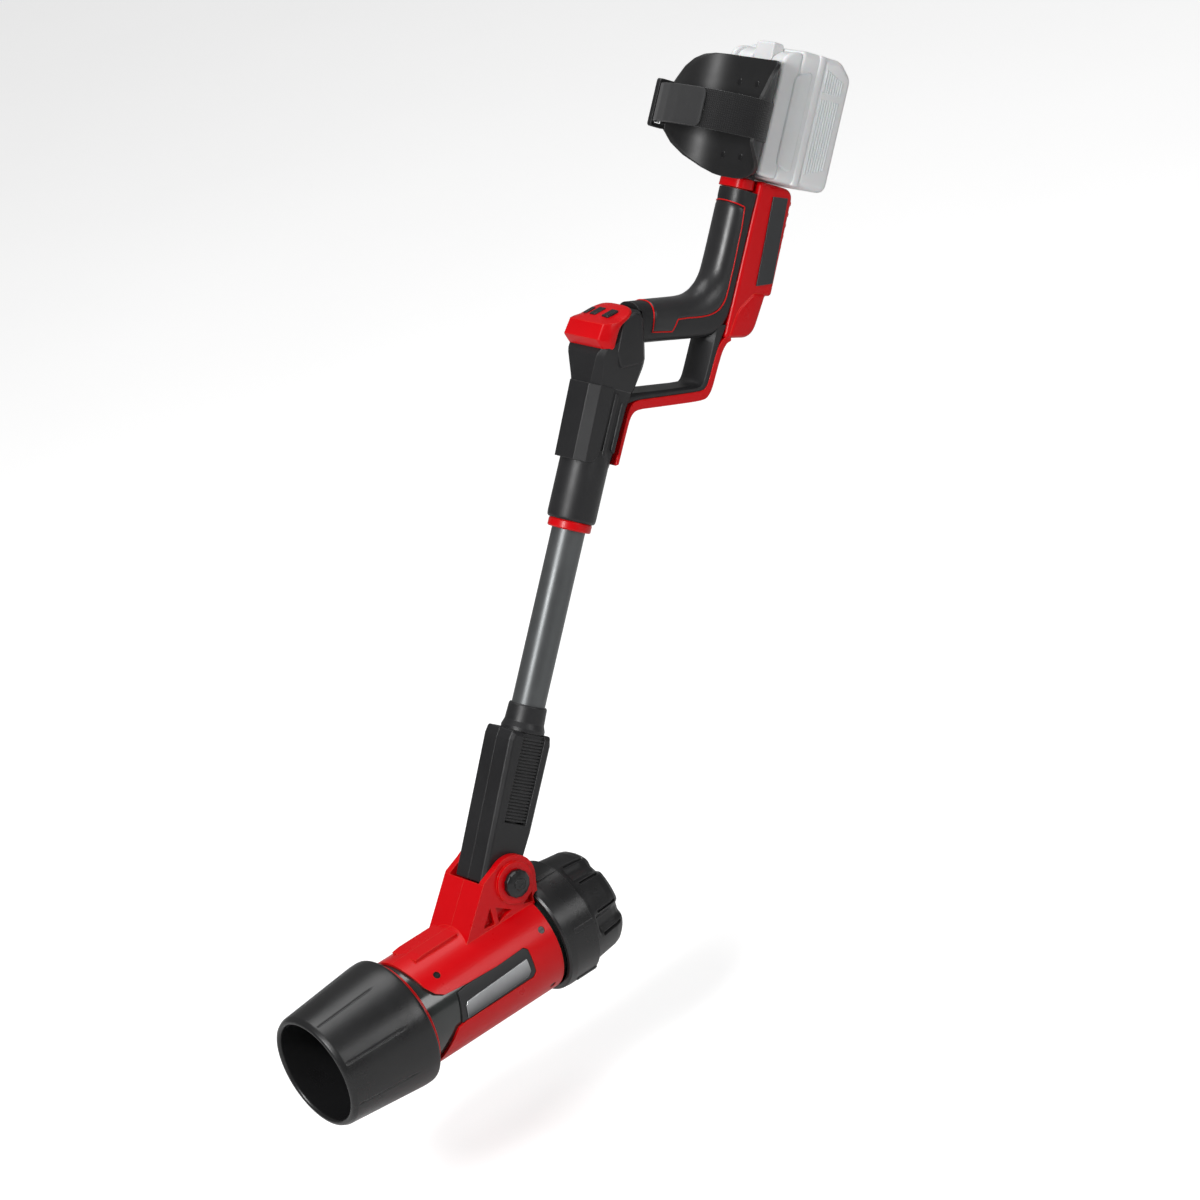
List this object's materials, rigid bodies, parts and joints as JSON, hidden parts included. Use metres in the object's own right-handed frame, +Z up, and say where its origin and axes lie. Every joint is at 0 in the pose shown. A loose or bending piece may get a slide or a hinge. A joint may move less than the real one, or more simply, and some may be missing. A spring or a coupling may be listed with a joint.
{
  "type": "leaf blower",
  "caption": "Cordless pole-type leaf blower: tilting axial fan head on a slim pole, loop handle with forearm cuff, and a slide-on battery.",
  "frame": {"origin": "centre of the horizontal hand grip, in the middle plane", "axes": "+X the way the air leaves the nozzle, along the level fan axis; +Y the user's left; +Z up"},
  "size_m": [0.8099, 0.1265, 0.7017],
  "materials": {
    "black_housing": "fine spark-eroded texture",
    "red_shell": "satin gloss",
    "black_nozzle": "satin, fine grain",
    "gloss_duct": "glossy",
    "inner_plastic": "satin",
    "silver_plate": "brushed",
    "label_black": "gloss",
    "steel": "satin",
    "bolt_black": "black oxide",
    "bush": "sintered",
    "copper": "enamelled wire and plated blades",
    "pole_metal": "dark anodised",
    "soft_grip": "soft touch",
    "rubber": "matte",
    "button": "matte",
    "board": "solder mask",
    "cuff_plastic": "satin",
    "webbing": "woven nylon",
    "pack_grey": "light satin",
    "cell": "shrink wrapped"
  },
  "bodies": {
    "root": {"pivot_bush": "bush", "pivot_arm_left": "black_housing", "pivot_arm_right": "black_housing", "tube_socket": "black_housing", "arm_collar": "black_housing", "pole_tube": "pole_metal", "collar_ring": "red_shell", "power_lead": "rubber", "handle_left": "black_housing", "handle_right": "black_housing", "handle_screws": "steel", "grip_cover": "soft_grip", "handle_spine": "red_shell", "rear_housing": "red_shell", "vent_grille": "red_shell", "label_left": "label_black", "label_right": "label_black", "control_front_cover": "black_housing", "control_cap": "red_shell", "power_dome": "rubber", "speed_dome": "rubber", "charge_display": "label_black", "control_board": "board", "cuff_neck": "red_shell", "arm_cuff": "cuff_plastic", "cuff_screws": "bolt_black", "cuff_strap": "webbing", "strap_buckle": "cuff_plastic", "battery_dock": "black_housing", "battery_terminal": "copper"},
    "head": {"fan_duct": "gloss_duct", "nozzle_ring": "red_shell", "head_shell_left": "red_shell", "head_shell_right": "red_shell", "head_screws": "bolt_black", "side_bezel_left": "inner_plastic", "side_bezel_right": "inner_plastic", "side_plate_left": "silver_plate", "side_plate_right": "silver_plate", "intake_ring": "black_nozzle", "intake_guard": "black_nozzle", "motor_stator": "copper", "motor_bearings": "steel", "motor_pod": "inner_plastic", "tail_cone": "inner_plastic", "pivot_bolt": "bolt_black", "pivot_nut": "steel"},
    "nozzle": {"blower_nozzle": "black_nozzle"},
    "fan_rotor": {"fan_impeller": "inner_plastic", "motor_shaft": "steel", "motor_rotor": "steel"},
    "power_key": {"power_button": "button"},
    "speed_key": {"speed_button": "button"},
    "battery": {"battery_housing": "pack_grey", "battery_cover": "pack_grey", "battery_cells": "cell"},
    "latch": {"battery_latch": "pack_grey"}
  },
  "joints": [
    {"name": "head_pivot", "type": "hinge", "parent": "root", "child": "head", "pos_m": [0.33779, 0, -0.38497], "axis": [0, 1, 0], "range_deg": [0, 40]},
    {"name": "nozzle_twist", "type": "hinge", "parent": "head", "child": "nozzle", "pos_m": [0.33779, 0, -0.45547], "axis": [1, 0, 0], "range_deg": [0, 20]},
    {"name": "fan_spin", "type": "hinge", "parent": "head", "child": "fan_rotor", "pos_m": [0.33779, 0, -0.45547], "axis": [1, 0, 0], "continuous": true},
    {"name": "power_press", "type": "slide", "parent": "root", "child": "power_key", "axis": [0, 0, -1], "range_m": [0, 0.0012], "stiffness_N_per_m": 500, "springref_m": -0.0015, "deforming": ["power_dome"]},
    {"name": "speed_press", "type": "slide", "parent": "root", "child": "speed_key", "axis": [0, 0, -1], "range_m": [0, 0.0012], "stiffness_N_per_m": 500, "springref_m": -0.0015, "deforming": ["speed_dome"]},
    {"name": "battery_slide", "type": "slide", "parent": "root", "child": "battery", "axis": [-0.5878, 0, 0.809], "range_m": [0, 0.115]},
    {"name": "latch_press", "type": "slide", "parent": "battery", "child": "latch", "axis": [0.5878, 0, -0.809], "range_m": [0, 0.0025], "stiffness_N_per_m": 500, "springref_m": -0.002}
  ]
}
